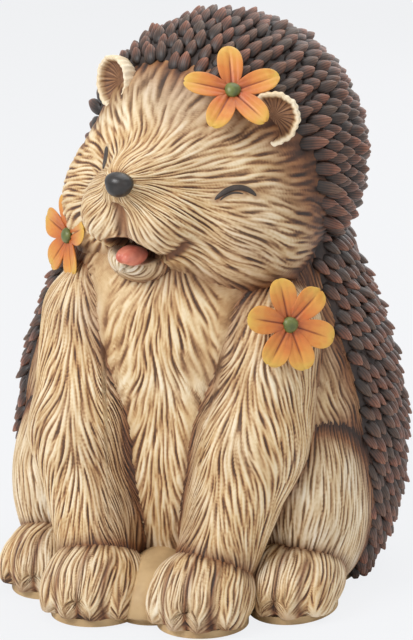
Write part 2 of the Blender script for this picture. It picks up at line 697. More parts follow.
def fur_material(name):
    """Cast resin, matt, painted cream and rubbed with a brown wash that stays in the carved grooves.

    Wash collects in the grooves and in the creases between parts, so that they go from beige to dark umber, while
    the ridges stay pale. A fine grain of paint, about a millimetre across, breaks up both.
    """
    paint = bpy.context.scene.hedgehog_fur
    material, tree, place = new_tree(name)
    grain = add_node(tree, "TexNoise", {"Vector": place, "Scale": 1 / FUR_GRAIN, "Detail": 3.0})
    patches = add_node(tree, "TexNoise", {"Vector": place, "Scale": 1 / FUR_PATCHES, "Detail": 2.0})
    shades = {
        shade: add_node(tree, "Attribute", output="Fac", attribute_name=shade)
        for shade in ("ridge", "pale", "wash", "tint")
    }
    grained = add_node(tree, "Math", {0: grain, 1: 0.3, 2: -0.15}, operation="MULTIPLY_ADD")
    ridge = add_node(tree, "Math", {0: shades["ridge"], 1: grained}, operation="ADD")
    cream = add_node(tree, "ValToRGB", {"Fac": ridge}, stops=(
        (0.16, paint.groove_colour), (0.37, "8f6643"), (0.57, "c6a276"), (0.78, "e2cba3"),
        (1.0, paint.ridge_colour),
    ))
    pale = add_node(tree, "ValToRGB", {"Fac": ridge}, stops=(
        (0.12, "7d6044"), (0.35, "b99c76"), (0.6, "e0d2b8"), (1.0, "f5f0e4")
    ))
    brown = add_node(tree, "ValToRGB", {"Fac": ridge}, stops=(
        (0.14, "2a1a12"), (0.45, paint.wash_colour), (0.75, "8a5f40"), (1.0, "a87e58")
    ))
    colour = add_node(tree, "Mix", {0: shades["pale"], 6: cream, 7: pale}, output=2, data_type="RGBA")
    colour = add_node(tree, "Mix", {0: shades["wash"], 6: colour, 7: brown}, output=2, data_type="RGBA")
    tint = add_node(tree, "Math", {0: shades["tint"], 1: 0.4}, operation="MULTIPLY")
    tint = add_node(tree, "Math", {0: patches, 1: 0.6, 2: tint}, operation="MULTIPLY_ADD")
    tint = add_node(tree, "ValToRGB", {"Fac": tint}, stops=((0.2, "dcc6a4"), (0.5, "f4ead8"), (0.85, "ffffff")))
    colour = add_node(
        tree, "Mix", {0: 0.75, 6: colour, 7: tint}, output=2, data_type="RGBA", blend_type="MULTIPLY"
    )
    finish_tree(tree, 0.62, colour, 0.25, 0.15 * MM, grain)
    return material


def coat_material(name):
    """Cast resin, matt, stained charcoal brown: the ground between the spines."""
    material, tree, place = new_tree(name)
    grain = add_node(tree, "TexNoise", {"Vector": place, "Scale": 1 / COAT_GRAIN, "Detail": 4.0})
    colour = add_node(
        tree, "ValToRGB", {"Fac": grain}, stops=((0.3, "201917"), (0.55, "352a26"), (0.8, "4c3c34"))
    )
    finish_tree(tree, 0.7, colour, 0.4, 0.3 * MM, grain)
    return material


def spine_material(name):
    """Cast resin spines, satin, charcoal at the root and dry-brushed with rust brown towards the tip.

    Fine carved lines run along each spine, and the brushed colour catches on them.
    """
    paint = bpy.context.scene.hedgehog_coat
    material, tree, place = new_tree(name)
    grain = add_node(tree, "TexNoise", {"Vector": place, "Scale": 1 / SPINE_GRAIN, "Detail": 3.0})
    tip, across, tint = (
        add_node(tree, "Attribute", output="Fac", attribute_name=shade) for shade in ("tip", "round", "tint")
    )
    lines = add_node(tree, "Math", {0: across, 1: SPINE_LINES}, operation="MULTIPLY")
    lines = add_node(tree, "Math", {0: lines}, operation="SINE")
    brushed = add_node(tree, "Math", {0: lines, 1: 0.13, 2: tip}, operation="MULTIPLY_ADD")
    grained = add_node(tree, "Math", {0: grain, 1: 0.4, 2: -0.2}, operation="MULTIPLY_ADD")
    brushed = add_node(tree, "Math", {0: brushed, 1: grained}, operation="ADD")
    dark = add_node(tree, "ValToRGB", {"Fac": brushed}, stops=(
        (0.2, "19120e"), (0.5, "30231a"), (0.8, paint.spine_colour), (1.0, "66503f")
    ))
    rust = add_node(tree, "ValToRGB", {"Fac": brushed}, stops=(
        (0.2, "1d130e"), (0.5, "472c20"), (0.8, paint.rust_colour), (1.0, "9c664c")
    ))
    colour = add_node(tree, "Mix", {0: tint, 6: dark, 7: rust}, output=2, data_type="RGBA")
    finish_tree(tree, 0.5, colour, 0.35, 0.2 * MM, brushed)
    return material


def petal_material(name):
    """Hand-painted resin petals, satin, orange in the middle and yellow towards the tips, with a touch of pink."""
    paint = bpy.context.scene.hedgehog_flowers
    material, tree, place = new_tree(name)
    patches = add_node(tree, "TexNoise", {"Vector": place, "Scale": 1 / PETAL_PATCHES, "Detail": 3.0})
    along, crease = (
        add_node(tree, "Attribute", output="Fac", attribute_name=shade) for shade in ("along", "crease")
    )
    mottled = add_node(tree, "Math", {0: patches, 1: 0.7, 2: -0.35}, operation="MULTIPLY_ADD")
    along = add_node(tree, "Math", {0: along, 1: mottled}, operation="ADD")
    colour = add_node(tree, "ValToRGB", {"Fac": along}, stops=(
        (0.1, paint.root_colour), (0.4, paint.petal_colour), (0.7, "d49444"), (1.0, paint.tip_colour)
    ))
    pink = add_node(tree, "ValToRGB", {"Fac": patches}, stops=((0.5, "ffffff"), (0.75, "f3b49c")))
    crease = add_node(tree, "ValToRGB", {"Fac": crease}, stops=((0.0, "94542c"), (0.6, "ffffff")))
    for share, glaze in ((0.8, pink), (0.9, crease)):
        inputs = {0: share, 6: colour, 7: glaze}
        colour = add_node(tree, "Mix", inputs, output=2, data_type="RGBA", blend_type="MULTIPLY")
    finish_tree(tree, 0.45, colour, 0.3, 0.25 * MM, patches)
    return material


def brushed_material(name):
    """A brushed paint that varies between two close colours, with a fine grain left by the brush."""
    roughness, low, high, grain_size = BRUSHED_PAINTS[name]
    material, tree, place = new_tree(name)
    grain = add_node(tree, "TexNoise", {"Vector": place, "Scale": 1 / (grain_size * MM), "Detail": 3.0})
    colour = add_node(tree, "ValToRGB", {"Fac": grain}, stops=((0.3, low), (0.7, high)))
    finish_tree(tree, roughness, colour, 0.3, 0.1 * MM, grain)
    return material


# Each brushed paint: its roughness, its two colours and its grain in mm
BRUSHED_PAINTS = {
    # Gloss black enamel: the nose, which shows one broad soft highlight
    "black nose enamel": (0.34, "171412", "2e2825", 2.0),
    # Matt dark umber paint: the closed eyes
    "umber line paint": (0.55, "2a2019", "40352e", 5 / 3),
    # Satin coral paint: the tongue
    "coral tongue paint": (0.4, "c05f4b", "dd8a73", 10 / 3),
    # Matt beige resin paint: the sole and the web between the paws, left smooth
    "beige resin sole": (0.6, "b3946a", "cdb083", 25 / 3),
    # Olive green paint, satin: the beads of the flowers
    "olive bead paint": (0.4, "4c5628", "6f773c", 2.5),
}
CAST_FINISHES = {
    "cast resin fur": fur_material,
    "stained resin coat": coat_material,
    "dry-brushed resin spines": spine_material,
    "painted resin petals": petal_material,
}


def material_of(name):
    """A finish by its name, made the first time that it is asked for."""
    return bpy.data.materials.get(name) or CAST_FINISHES.get(name, brushed_material)(name)


# The camera that took the picture, and what it sees at a pixel
IMAGE_SIZE = (413, 640)
CAMERA_TARGET = mm(0, 0, 86)
CAMERA_AZIMUTH, CAMERA_ELEVATION = math.radians(18.0), math.radians(14.0)
CAMERA_DISTANCE, PIXEL_SIZE = 1150 * MM, 0.336 * MM
MIDDLE_PIXEL = (204.5, 320.0)
SENSOR = 36.0
FAR_CLIP = 20


def camera_axes():
    """The ways to the right, up and back of the camera."""
    a, e = CAMERA_AZIMUTH, CAMERA_ELEVATION
    back = np.array([math.sin(a) * math.cos(e), -math.cos(a) * math.cos(e), math.sin(e)])
    right = np.array([math.cos(a), math.sin(a), 0])
    return right, np.cross(back, right), back


def seen_at(field, pixels):
    """The first points of a solid that the camera sees at some pixels, by cautious steps along each sight line."""
    right, up, back = camera_axes()
    start = CAMERA_TARGET + back * CAMERA_DISTANCE
    offsets = (np.array(pixels, float) - MIDDLE_PIXEL) * PIXEL_SIZE / CAMERA_DISTANCE
    ways = -back + offsets[:, :1] * right - offsets[:, 1:] * up
    ways /= np.linalg.norm(ways, axis=-1, keepdims=True)
    run = np.full(len(ways), CAMERA_DISTANCE - 120 * MM)
    for _ in range(300):
        run += np.clip(field(start + run[:, None] * ways), 0, 10 * MM) * 0.6
    return start + run[:, None] * ways


def eye_line(start, middle, end, count=40):
    """Points on the face that the camera sees along the parabola through three pixels, even in its own measure."""
    t = np.linspace(0, 1, count)[:, None]
    start, middle, end = (np.array(pixel, float) for pixel in (start, middle, end))
    control = 2 * middle - (start + end) / 2
    return seen_at(FACE_FORM, (1 - t) ** 2 * start + 2 * t * (1 - t) * control + t**2 * end)


# Places on the photograph that the closed eyes and the corner of the smile are set by
LEFT_EYE_PIXELS = ((214.5, 200.0), (236.5, 187.6), (256.5, 196.0))
LEFT_LID_PIXELS = ((220.0, 200.5), (231.0, 193.4), (243.5, 194.0))
RIGHT_EYE_PIXELS = ((106.5, 146.5), (106.0, 157.0), (103.5, 169.0))
SMILE_PIXELS = ((150.0, 258.5), (168.0, 257.0), (185.0, 246.0))
EYE_LINES = {
    "painted_left_eye_line": (eye_line(*LEFT_EYE_PIXELS), 0.95 * MM),
    "painted_left_lid_line": (eye_line(*LEFT_LID_PIXELS), 0.32 * MM),
    "painted_right_eye_line": (eye_line(*RIGHT_EYE_PIXELS), 0.9 * MM),
}
SMILE = seen_at(FACE_FORM, SMILE_PIXELS)
SMILE_GROOVE = joined(
    limb(SMILE[0], SMILE[1], 1.3 * MM, 1.2 * MM), (limb(SMILE[1], SMILE[2], 1.2 * MM, 0.8 * MM), MM)
)


def a_length(name, description, millimetres):
    """A length that a user may change, with its default in millimetres."""
    return FloatProperty(name=name, description=description, default=millimetres * MM, unit="LENGTH", precision=5)


def a_colour(name, description, colour):
    """A colour that a user may change, with its default as sRGB hex."""
    return FloatVectorProperty(
        name=name, description=description, default=linear(colour), size=4, subtype="COLOR", min=0, max=1
    )


class HedgehogFur(bpy.types.PropertyGroup):
    """Sizes and paints of the carved fur."""

    stroke_width: a_length("Stroke width", "From one groove to the next", 1.1)
    stroke_length: a_length("Stroke length", "How far one stroke runs", 14)
    stroke_depth: a_length("Stroke depth", "From ridge to groove", 0.65)
    mesh_spacing: a_length("Mesh spacing", "Distance between points of a skin", 0.36)
    ridge_colour: a_colour("Ridges", "Cream paint on the highest ridges", "efe2c8")
    groove_colour: a_colour("Grooves", "Wash in the deepest grooves", "4f3320")
    wash_colour: a_colour("Creases", "Wash in the creases between parts", "5a3824")


class HedgehogCoat(bpy.types.PropertyGroup):
    """Sizes and paints of the spines."""

    width: a_length("Width", "Width of a spine", 5.0)
    length: a_length("Length", "Root to tip of a spine", 8.6)
    pitch: a_length("Pitch", "From spine to spine in a row", 4.9)
    row_gap: a_length("Row gap", "From one row to the next", 5.0)
    lean: FloatProperty(
        name="Lean", description="How far a spine leans from upright", default=math.radians(58), subtype="ANGLE"
    )
    spine_colour: a_colour("Spines", "Dry-brushed colour of the darkest spines", "4e3c30")
    rust_colour: a_colour("Rust", "Dry-brushed colour of the reddest spines", "7b4a37")


class HedgehogFlowers(bpy.types.PropertyGroup):
    """Sizes and paints of the flowers."""

    petal_thickness: a_length("Petal thickness", "Thickness in the middle of a petal", 1.7)
    bead_radius: a_length("Bead radius", "Radius of the bead in the middle", 2.6)
    root_colour: a_colour("Petal root", "Paint beside the bead", "b05c2e")
    petal_colour: a_colour("Petal", "Paint in the middle of a petal", "cb7a38")
    tip_colour: a_colour("Petal tip", "Paint on the outer edge of a petal", "d2ab4c")


class HedgehogStage(bpy.types.PropertyGroup):
    """Backdrop and lamps."""

    backdrop: a_colour("Backdrop", "Colour of floor and backdrop", "f3f4f6")
    key_power: FloatProperty(name="Key lamp", description="Power of the key lamp", default=8.0, unit="POWER")


class HEDGEHOG_OT_head(bpy.types.Operator):
    """Carve the fur of the head and lower jaw"""

    bl_idname = "hedgehog.head"
    bl_label = "Head"

    def execute(self, context):
        face = without(without(FACE_FORM, MOUTH, 1.5 * MM), PHILTRUM, 2.5 * MM)
        fur_piece(
            "carved_head",
            without(face, SMILE_GROOVE, 1.5 * MM),
            Axis(on_head(0, 0, -6), on_head(0, -48, -2), HEAD_DOWN, 0.5),
            from_point(on_head(0, -60, 0)),
            self.face_shades,
            11,
            "head",
            75 * MM,
            lambda points: (hood_line_ahead(points) < -2 * MM) | (UNDER_HEAD(points) < -1.5 * MM),
        )
        fur_piece(
            "carved_lower_jaw",
            without(JAW, MOUTH, 1.5 * MM),
            Axis(on_head(0, -24, -30), on_head(0, -42, -29), HEAD_DOWN, 0.4),
            from_point(on_head(0, -40, -20)),
            self.jaw_shades,
            12,
            "lower_jaw",
            30 * MM,
        )
        return {"FINISHED"}

    @staticmethod
    def face_shades(points):
        """Wash by the hood, under the head, in the creases and on the left cheek, and pale cheek and lip pads."""
        seen = to_head(points)
        wash = washed(
            points,
            (1.1, hood_line_ahead, 20, 1.4),
            (0.75, UNDER_HEAD, 5, 1),
            (1.35, PHILTRUM, 2.2, 1),
            (1.3, SMILE_GROOVE, 2.6, 1),
            (2.0, MOUTH, 0.6, 1),
        )
        wash += 0.15 * ripple(points, 25 * MM, 5) + 0.35 * ramped(seen[..., 0], 12 * MM, 24 * MM)
        pale = 0.7 * patch(seen, (26, -30, -10), (14, 12, 9)) + 0.6 * patch(seen, (9, -58, -18), (9, 9, 8))
        pale += 0.35 * ripple(points, 30 * MM, 6)
        smooth = near(MOUTH, points, 0.8 * MM)
        for arc, _ in EYE_LINES.values():
            away = distance_to(arc, points) / MM
            smooth = np.maximum(smooth, np.clip(1.6 - away, 0, 1))
            wash += 0.45 * np.clip(1.8 - away, 0, 1)
        smooth = np.maximum(smooth, near(PHILTRUM, points, 1.2 * MM))
        return wash, pale, np.maximum(smooth, near(SMILE_GROOVE, points, 0.8 * MM))

    @staticmethod
    def jaw_shades(points):
        """A pale lower lip, and wash below and behind it."""
        seen = to_head(points)
        lip = ramped(seen[..., 2], -33 * MM, 5 * MM)
        lip *= np.clip(1.6 - np.abs(seen[..., 0] + 1.5 * MM) / (7 * MM), 0, 1)
        wash = washed(points, (0.5, FACE_FORM, 1.5, 1), (0.5, UNDER_HEAD, 3, 1)) + 0.55 * (1 - lip)
        return wash, 1.4 * lip, near(MOUTH, points, 0.6 * MM)


class HEDGEHOG_OT_body(bpy.types.Operator):
    """Carve the fur of the chest and belly"""

    bl_idname = "hedgehog.body"
    bl_label = "Body"

    def execute(self, context):
        limbs = joined(
            FORELEGS["left"], (FORELEGS["right"], MM), (HAUNCHES["left"], MM), (HAUNCHES["right"], MM)
        )
        covered = joined(limbs, (FACE_FORM, MM), (lambda points: points[..., 2] - 22 * MM, MM))

        def shades(points):
            wash = washed(
                points,
                (0.95, limbs, 6, 1.5),
                (0.9, fur_line_ahead, 15, 1.3),
                (0.6, FACE_FORM, 6, 1),
                (0.5, level_of, 35, 1),
            )
            smooth = 1 - ramped(points[..., 2], 10 * MM, 10 * MM)
            return wash + 0.15 * ripple(points, 25 * MM, 7), 0.25 * ripple(points, 30 * MM, 8), smooth

        fur_piece(
            "carved_body",
            standing(TORSO_FORM),
            Axis(mm(0, 0, 28), mm(0, 0, 92)),
            fir_tree((0, 0, -1), (1, 0, 0), mm(0, 0, 0), 14 * MM, 0.6),
            shades,
            21,
            "body",
            90 * MM,
            lambda points: (fur_line_ahead(points) < -3 * MM) | (covered(points) < -1.5 * MM),
        )
        return {"FINISHED"}


def inside_torso(points):
    """Whether a point lies well inside the torso, where nothing shows."""
    return TORSO_FORM(points) < -0.8 * MM


def on_flank(solid, set_in, soft, reach):
    """A limb joined softly to the flank, which is kept only within reach of the limb, and cut at the sole."""
    both = joined(solid, (grown(TORSO_FORM, -set_in), soft))
    return standing(within(both, grown(solid, reach), 2 * MM))


class HEDGEHOG_OT_forelegs(bpy.types.Operator):
    """Carve the fur of the forelegs"""

    bl_idname = "hedgehog.forelegs"
    bl_label = "Forelegs"

    def execute(self, context):
        for name, side in SIDES.items():
            shoulder, wrist = mirrored(SHOULDER, side), mirrored(WRIST, side)
            down = (wrist - shoulder) / np.linalg.norm(wrist - shoulder)
            others = joined(HAUNCHES[name], (HIND_PAWS[name], MM), (FRONT_PAWS[name], MM), (TORSO_FORM, MM))

            def inner_side(points):
                return side * points[..., 0] - 8 * MM

            def shades(points):
                wash = washed(points, (0.85, others, 5, 1.5), (0.5, FACE_FORM, 5, 1), (0.5, inner_side, 14, 1))
                wash += 0.2 * ripple(points, 22 * MM, 9)
                return wash, 0.3 * ripple(points, 25 * MM, 10), np.zeros(points.shape[:-1])

            fur_piece(
                f"carved_{name}_foreleg",
                on_flank(FORELEGS[name], 2 * MM, 9 * MM, 8 * MM),
                Axis(shoulder, wrist, (0, 1, 0)),
                fir_tree(down, cross(down, np.array([0.0, -1.0, 0.0])), shoulder, 9 * MM, 0.65),
                shades,
                31 + side,
                f"{name}_foreleg",
                32 * MM,
                inside_torso,
            )
        return {"FINISHED"}


class HEDGEHOG_OT_haunches(bpy.types.Operator):
    """Carve the fur of the haunches"""

    bl_idname = "hedgehog.haunches"
    bl_label = "Haunches"

    def execute(self, context):
        for name, side in SIDES.items():
            others = joined(FORELEGS[name], (HIND_PAWS[name], MM), (TORSO_FORM, MM))

            def shades(points):
                top = ramped(points[..., 2], 48 * MM, 14 * MM)
                wash = washed(points, (0.9, others, 4, 1.5), (0.9, fur_line_ahead, 13, 1.3)) + 0.7 * top
                wash += 0.15 * ripple(points, 22 * MM, 13)
                pale = 0.55 - 0.8 * top + 0.25 * ripple(points, 20 * MM, 14)
                return wash, pale, np.zeros(points.shape[:-1])

            fur_piece(
                f"carved_{name}_haunch",
                on_flank(HAUNCHES[name], 1.5 * MM, 6 * MM, 5 * MM),
                Axis(mirrored(mm(46, -12, 20), side), mirrored(mm(46, -12, 46), side), (0, 1, 0)),
                from_point(mirrored(mm(46, -16, 78), side)),
                shades,
                41 + side,
                f"{name}_haunch",
                45 * MM,
                inside_torso,
            )
        return {"FINISHED"}


class HEDGEHOG_OT_paws(bpy.types.Operator):
    """Carve the fur of the four paws and the smooth web between the front ones"""

    bl_idname = "hedgehog.paws"
    bl_label = "Paws"

    def execute(self, context):
        for name, side in SIDES.items():
            for end, paws, legs, centre, size in (
                ("front", FRONT_PAWS, FORELEGS, FRONT_PAW, FRONT_PAW_SIZE),
                ("hind", HIND_PAWS, HAUNCHES, HIND_PAW, HIND_PAW_SIZE),
            ):
                centre = mirrored(centre, side)
                leg = legs[name]

                def shades(points):
                    off_middle = points[..., 0] - centre[0]
                    toe_gap = np.min([np.abs(off_middle - share * size[0]) for share in TOE_GAP_SHARES], axis=0)
                    front = 1 - ramped(points[..., 1], centre[1] - size[1], 16 * MM)
                    low = 1 - ramped(points[..., 2], 3 * MM, 5 * MM)
                    wash = np.clip(1 - toe_gap / (1.6 * MM), 0, 1) * np.clip(front * 3, 0, 1) + 0.6 * low * front
                    wash += washed(points, (0.8, leg, 3.5, 1)) + 0.2 * ripple(points, 15 * MM, 15)
                    return wash, 0.25 + 0.3 * ripple(points, 20 * MM, 16), np.zeros(points.shape[:-1])

                fur_piece(
                    f"carved_{name}_{end}_paw",
                    standing(paws[name], 0.5 * MM),
                    Axis(centre + mm(0, 8, -1), centre + mm(0, -9, -1), (0, 0, -1)),
                    from_point(centre + mm(0, 22, 26)),
                    shades,
                    51 + side + len(end),
                    f"{name}_{end}_paw",
                    36 * MM,
                )
        web = joined(grown(TORSO_FORM, -MM), (FRONT_PAWS["left"], 16 * MM), (FRONT_PAWS["right"], 16 * MM))
        web = standing(within(web, egg(mm(0, -46, 4), mm(13, 25, 16)), 2 * MM))
        axis = Axis(mm(0, -38, 6), mm(0, -54, 6), (0, 0, -1))
        cast_mesh("smooth_paw_web", web, axis, MM, 35 * MM, "beige resin sole", "sole_resin", [])
        return {"FINISHED"}


class HEDGEHOG_OT_face(bpy.types.Operator):
    """Shape the nose and the tongue, and paint the closed eyes and the sole, which keeps its plain shape"""

    bl_idname = "hedgehog.face"
    bl_label = "Nose, tongue, eyes and sole"

    def execute(self, context):
        axis = Axis(on_head(1.2, -64.6, 0.8), on_head(1.2, -65.8, 0.8), HEAD_DOWN, 0.8)
        cast_mesh("enamelled_nose", NOSE, axis, 0.25 * MM, 9 * MM, "black nose enamel", "nose_enamel", ["nose"])
        tongue = joined(TONGUE_HALVES[0], (TONGUE_HALVES[1], 1.2 * MM))
        axis = Axis(on_head(0.9, -50.0, -24.2), on_head(0.9, -54.0, -24.2), HEAD_DOWN, 0.6)
        cast_mesh(
            "painted_tongue", tongue, axis, 0.3 * MM, 12 * MM, "coral tongue paint", "tongue_enamel", ["tongue"]
        )
        for name, (arc, radius) in EYE_LINES.items():
            skin_mesh(name, painted_line(arc, radius), {}, "umber line paint", "nose_enamel", [])
        for slot in bpy.data.objects["base_plate"].material_slots:
            slot.material = material_of("beige resin sole")
        return {"FINISHED"}


def painted_line(arc, radius, sides=12, proud=0.05 * MM, tip_radius=0.02 * MM, flatness=0.7):
    """A raised line of paint: a flattened bead carried along an arc on the face, nearly half sunk.

    With t from -1 to 1 along it, its radius is the square root of one less the cube of t's size, so it tapers to
    both ends.
    """
    along = np.gradient(arc, axis=0)
    along /= np.linalg.norm(along, axis=-1, keepdims=True)
    outward = lie_flat(normals_of(FACE_FORM, arc), along)
    side = np.cross(along, outward)
    t = np.linspace(-1, 1, len(arc))[:, None, None]
    turn = np.linspace(0, 2 * np.pi, sides, endpoint=False)[None, :, None]
    girth = radius * (1 - np.abs(t) ** 3) ** 0.5 + tip_radius
    middle = arc[:, None] + proud * outward[:, None]
    return middle + girth * (np.cos(turn) * side[:, None] + flatness * np.sin(turn) * outward[:, None])


# Ears: where they sit on the head, how far they turn outwards, their half width and height, and their section
# from the middle of the back round the rim into the cup, as shares along it, shares of the half width, and depths
EAR_PLACE, EAR_TURN = mm(29.8, -21.8, 24.0), math.radians(24.0)
EAR_HALF_WIDTH, EAR_HALF_HEIGHT = mm(8.4, 8.6)
EAR_ALONG_SHARES = (0.0, 0.15, 0.35, 0.5, 0.6, 0.68, 0.76, 0.88, 1.0)
EAR_REACH_SHARES = (0.0, 0.55, 0.93, 1.03, 0.98, 0.86, 0.74, 0.42, 0.0)
EAR_DEPTHS = mm(4.4, 4.0, 1.6, -1.6, -3.0, -2.6, -0.9, 0.4, 0.6)
EAR_LINE_DEPTH = 0.12 * MM


def ear_rows(side):
    """A cupped ear: its section turned about its middle, on a slightly rough oval, with lines in the cup.

    With t along the section and a the turn, the reach is the section's share times the half sizes and a wobble of
    sines of 9 a and 23 a; the lines are sines of 23 a and 41 a, shifted by slower ones so that they run unevenly.
    """
    t = np.linspace(0, 1, 90)[:, None]
    a = np.linspace(0, 2 * np.pi, 120, endpoint=False)[None]
    reach = smooth_through(EAR_ALONG_SHARES, EAR_REACH_SHARES, t)
    reach = reach * (1 + 0.02 * np.sin(9 * a + 1.3) + 0.02 * np.sin(23 * a + 4 * t))
    inside = ramped(t, 0.66, 0.1)
    lines = np.sin(23 * a + 5 * t + 1.9 * np.sin(3 * a + 1)) + np.sin(41 * a + 2.3 * np.sin(5 * a))
    grooves = inside * np.clip((1 - t) * 5, 0, 1) * lines * EAR_LINE_DEPTH
    x = EAR_HALF_WIDTH * reach * np.cos(a)
    y = smooth_through(EAR_ALONG_SHARES, EAR_DEPTHS, t) + grooves
    z = EAR_HALF_HEIGHT * reach * np.sin(a) * (1 - 0.08 * np.sin(a))
    turn = EAR_TURN * side
    across, back = (math.cos(turn), math.sin(turn), 0), (-math.sin(turn), math.cos(turn), 0)
    axes = HEAD_AXES @ np.stack([across, back, (0, 0, 1)], 1)
    flat = np.zeros(x.shape)
    shades = {
        "ridge": 0.92 + 0.04 * lines * (1 - inside) - inside * (0.3 - 0.2 * lines),
        "tint": 0.5 + 0.3 * np.sin(3 * a) + flat,
        "wash": np.clip(0.95 * inside + 0.5 * np.clip(1 - t / 0.25, 0, 1), 0, 1) + flat,
        "pale": 0.35 * (1 - inside) + flat,
    }
    return placed(np.stack([x, y, z], -1), HEAD_PLACE + HEAD_AXES @ mirrored(EAR_PLACE, side), axes), shades


def placed(points, centre, axes):
    """Points given along some axes, the columns, moved to a centre."""
    return centre + points @ np.asarray(axes).T


class HEDGEHOG_OT_ears(bpy.types.Operator):
    """Shape the cupped ears"""

    bl_idname = "hedgehog.ears"
    bl_label = "Ears"

    def execute(self, context):
        for name, side in SIDES.items():
            skin_mesh(f"cupped_{name}_ear", *ear_rows(side), "cast resin fur", "ear_resin", [f"{name}_ear"])
        return {"FINISHED"}


class HEDGEHOG_OT_coat(bpy.types.Operator):
    """Make the dark ground that the spines stand on"""

    bl_idname = "hedgehog.coat"
    bl_label = "Coat"

    def execute(self, context):
        back = within(grown(COAT_FORM, 0.6 * MM), lambda points: fur_line_ahead(points) + MM, 3 * MM)
        hood = within(HOOD, lambda points: hood_line_ahead(points) + MM, 3 * MM)
        hood_axis = Axis(on_head(0, 8, 0), on_head(0, 16, 0), HEAD_UP)
        for name, form, axis, reach, node in (
            ("stained_back_coat", standing(back), Axis(mm(0, 12, 20), mm(0, 12, 100)), 90 * MM, "back_coat"),
            ("stained_head_coat", hood, hood_axis, 70 * MM, "head_coat"),
        ):
            cast_mesh(name, form, axis, 1.5 * MM, reach, "stained resin coat", "coat_resin", [node])
        return {"FINISHED"}


# Spines: how deep they are rooted, how far back as a share of their length, and how far they keep off the ground
SPINE_ROOT, SPINE_CLEARANCE = mm(1.2, 0.2)
SPINE_BACK_SHARE = 0.25


def bud_rows(rings=6, sides=10, flatness=0.62):
    """A spine along Z, of unit length and half width: a flattened drop that ends in a blunt point.

    Its half width at t along it is the sine of pi times t to the power 0.85, raised to the power 0.55, which fills
    it out, and drawn in evenly towards the tip.
    """
    t = np.concatenate([[0], np.linspace(0.02, 0.97, rings + 1), [1]])[:, None]
    turn = np.arange(sides)[None] * 2 * np.pi / sides
    width = np.sin(np.pi * t**0.85) ** 0.55 * (1.04 - 0.22 * t)
    x, y = width * np.cos(turn), flatness * width * np.sin(turn)
    t = np.broadcast_to(t, x.shape)
    return np.stack([x, y, t], -1), {"tip": t, "round": x}


def plant(name, places, outward, lean_way, lengths, node, seed):
    """One piece of many spines, each rooted under its place and leaning from the outward way to its lean way."""
    chance = np.random.default_rng(seed)
    coat = bpy.context.scene.hedgehog_coat
    count = len(places)
    bud, faces, values = closed_rows(*bud_rows())
    lean = coat.lean + chance.normal(0, 0.10, count)
    ahead = np.cos(lean)[:, None] * outward + np.sin(lean)[:, None] * lean_way
    side = cross(ahead, outward) + chance.normal(0, 0.12, (count, 3))
    side = cross(np.cross(ahead, side), ahead)
    lengths = (lengths * chance.uniform(0.9, 1.12, count))[:, None]
    half_widths = (coat.width * chance.uniform(0.88, 1.12, count))[:, None] / 2
    bud_axes = np.stack([side * half_widths, np.cross(ahead, side) * half_widths, ahead * lengths], 1)
    root = places - SPINE_ROOT * outward - SPINE_BACK_SHARE * lengths * lean_way
    points = root[:, None] + bud @ bud_axes
    points[..., 2] = np.maximum(points[..., 2], SPINE_CLEARANCE)
    base = (np.arange(count) * len(bud))[:, None, None]
    faces = [(block[None] + base).reshape(-1, block.shape[1]) for block in faces]
    shades = {shade: np.tile(table, count) for shade, table in values.items()}
    shades["tint"] = np.repeat(chance.beta(1.3, 1.5, count), len(bud))
    new_mesh(name, points.reshape(-1, 3), faces, shades, "dry-brushed resin spines", "spine_resin", [node])


# Spines: the first row, how uneven rows and turns are, the hood's rings, and how they lengthen at the hood's edge
FIRST_ROW_LEVEL, MIDDLE_ROWS, ROW_UNEVENNESS = 5 * MM, mm(30, 90), 0.5 * MM
MIDDLE_GAP_SHARE, END_GAP_SHARE, TURN_UNEVENNESS = 0.92, 0.85, 0.14
HOOD_RING_RADIUS, FIRST_RING_SHARE, TILT_UNEVENNESS = 44 * MM, 0.3, 0.01
EDGE_RUN, EDGE_HALF_HEIGHT, EDGE_GROWTH, HOOD_LENGTH_SHARE = 14 * MM, 22 * MM, 0.6, 0.95


def row_turns(count, row, chance):
    """The turns of one row's spines: even, half a step further on in every other row, and a little uneven."""
    uneven = chance.uniform(-TURN_UNEVENNESS, TURN_UNEVENNESS, count)
    return (np.arange(count) + 0.5 * (row % 2) + uneven) * 2 * np.pi / count


def back_places(coat, chance):
    """Seats of the back's spines: rows round the coat's stations from the sole to the neck."""
    rows = []
    level, row = FIRST_ROW_LEVEL, 0
    while level < COAT_TOP:
        half_width = float(smooth_through(COAT_LEVELS, COAT_HALF_WIDTHS, np.array(level)))
        half_depth = float(smooth_through(COAT_LEVELS, COAT_HALF_DEPTHS, np.array(level)))
        count = int(math.pi * (half_width + half_depth) / coat.pitch)
        turn = row_turns(count, row, chance)
        height = level + chance.uniform(-1, 1, count) * ROW_UNEVENNESS
        x, y = half_width * np.cos(turn), COAT_SET_BACK + half_depth * np.sin(turn)
        rows.append(np.stack([x, y, height], -1))
        level += coat.row_gap * (MIDDLE_GAP_SHARE if MIDDLE_ROWS[0] < level < MIDDLE_ROWS[1] else END_GAP_SHARE)
        row += 1
    places = np.concatenate(rows)
    keep = (fur_line_ahead(places) < -1.5 * MM) & (HOOD(places) > 1.5 * MM) & (FACE_FORM(places) > MM)
    return places[keep]


